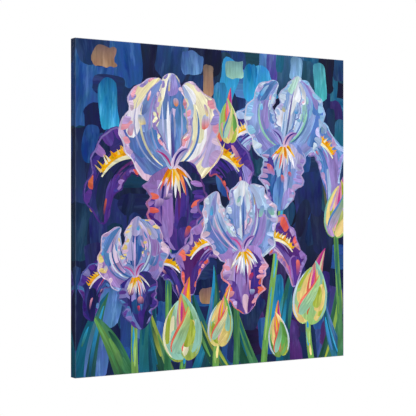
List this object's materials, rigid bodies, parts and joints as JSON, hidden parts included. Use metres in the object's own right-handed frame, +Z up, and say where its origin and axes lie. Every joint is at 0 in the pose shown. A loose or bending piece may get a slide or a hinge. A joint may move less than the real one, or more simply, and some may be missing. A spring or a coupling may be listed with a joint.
{
  "type": "stretched canvas wall picture",
  "caption": "Square gallery-wrapped canvas picture of irises on keyed pine stretcher bars, with a sawtooth hanger and wall pads on the back.",
  "frame": {"origin": "centre notch of the sawtooth hanger, in the middle of its sheet's thickness, where the picture rests on its nail", "axes": "+Z up, +X to the right as seen from the front, +Y out of the back towards the wall; the painted face looks to -Y"},
  "size_m": [0.6096, 0.023, 0.6096],
  "materials": {
    "canvas": "primed woven cloth with a colour picture under a satin varnish, raw on the inside",
    "bar_wood": "planed pine, bare",
    "key_wood": "sawn beech, bare",
    "staple_wire": "flat galvanised wire",
    "hanger_metal": "nickel-plated pressed sheet and nails",
    "pad_rubber": "moulded, pale and slightly glossy"
  },
  "bodies": {
    "root": {"canvas": "canvas", "stretcher_bar_top": "bar_wood", "stretcher_bar_right": "bar_wood", "stretcher_bar_bottom": "bar_wood", "stretcher_bar_left": "bar_wood", "corner_key_top_left_upright": "key_wood", "corner_key_top_left_level": "key_wood", "corner_key_top_right_upright": "key_wood", "corner_key_top_right_level": "key_wood", "corner_key_bottom_right_upright": "key_wood", "corner_key_bottom_right_level": "key_wood", "corner_key_bottom_left_upright": "key_wood", "corner_key_bottom_left_level": "key_wood", "staple_top_1": "staple_wire", "staple_top_2": "staple_wire", "staple_top_3": "staple_wire", "staple_top_4": "staple_wire", "staple_top_5": "staple_wire", "staple_top_6": "staple_wire", "staple_top_7": "staple_wire", "staple_top_8": "staple_wire", "staple_top_9": "staple_wire", "staple_right_1": "staple_wire", "staple_right_2": "staple_wire", "staple_right_3": "staple_wire", "staple_right_4": "staple_wire", "staple_right_5": "staple_wire", "staple_right_6": "staple_wire", "staple_right_7": "staple_wire", "staple_right_8": "staple_wire", "staple_right_9": "staple_wire", "staple_bottom_1": "staple_wire", "staple_bottom_2": "staple_wire", "staple_bottom_3": "staple_wire", "staple_bottom_4": "staple_wire", "staple_bottom_5": "staple_wire", "staple_bottom_6": "staple_wire", "staple_bottom_7": "staple_wire", "staple_bottom_8": "staple_wire", "staple_bottom_9": "staple_wire", "staple_left_1": "staple_wire", "staple_left_2": "staple_wire", "staple_left_3": "staple_wire", "staple_left_4": "staple_wire", "staple_left_5": "staple_wire", "staple_left_6": "staple_wire", "staple_left_7": "staple_wire", "staple_left_8": "staple_wire", "staple_left_9": "staple_wire", "staple_corner_top_left": "staple_wire", "staple_corner_top_right": "staple_wire", "staple_corner_bottom_right": "staple_wire", "staple_corner_bottom_left": "staple_wire", "sawtooth_hanger": "hanger_metal", "hanger_nail_left": "hanger_metal", "hanger_nail_right": "hanger_metal", "wall_pad_left": "pad_rubber", "wall_pad_right": "pad_rubber"}
  },
  "joints": []
}
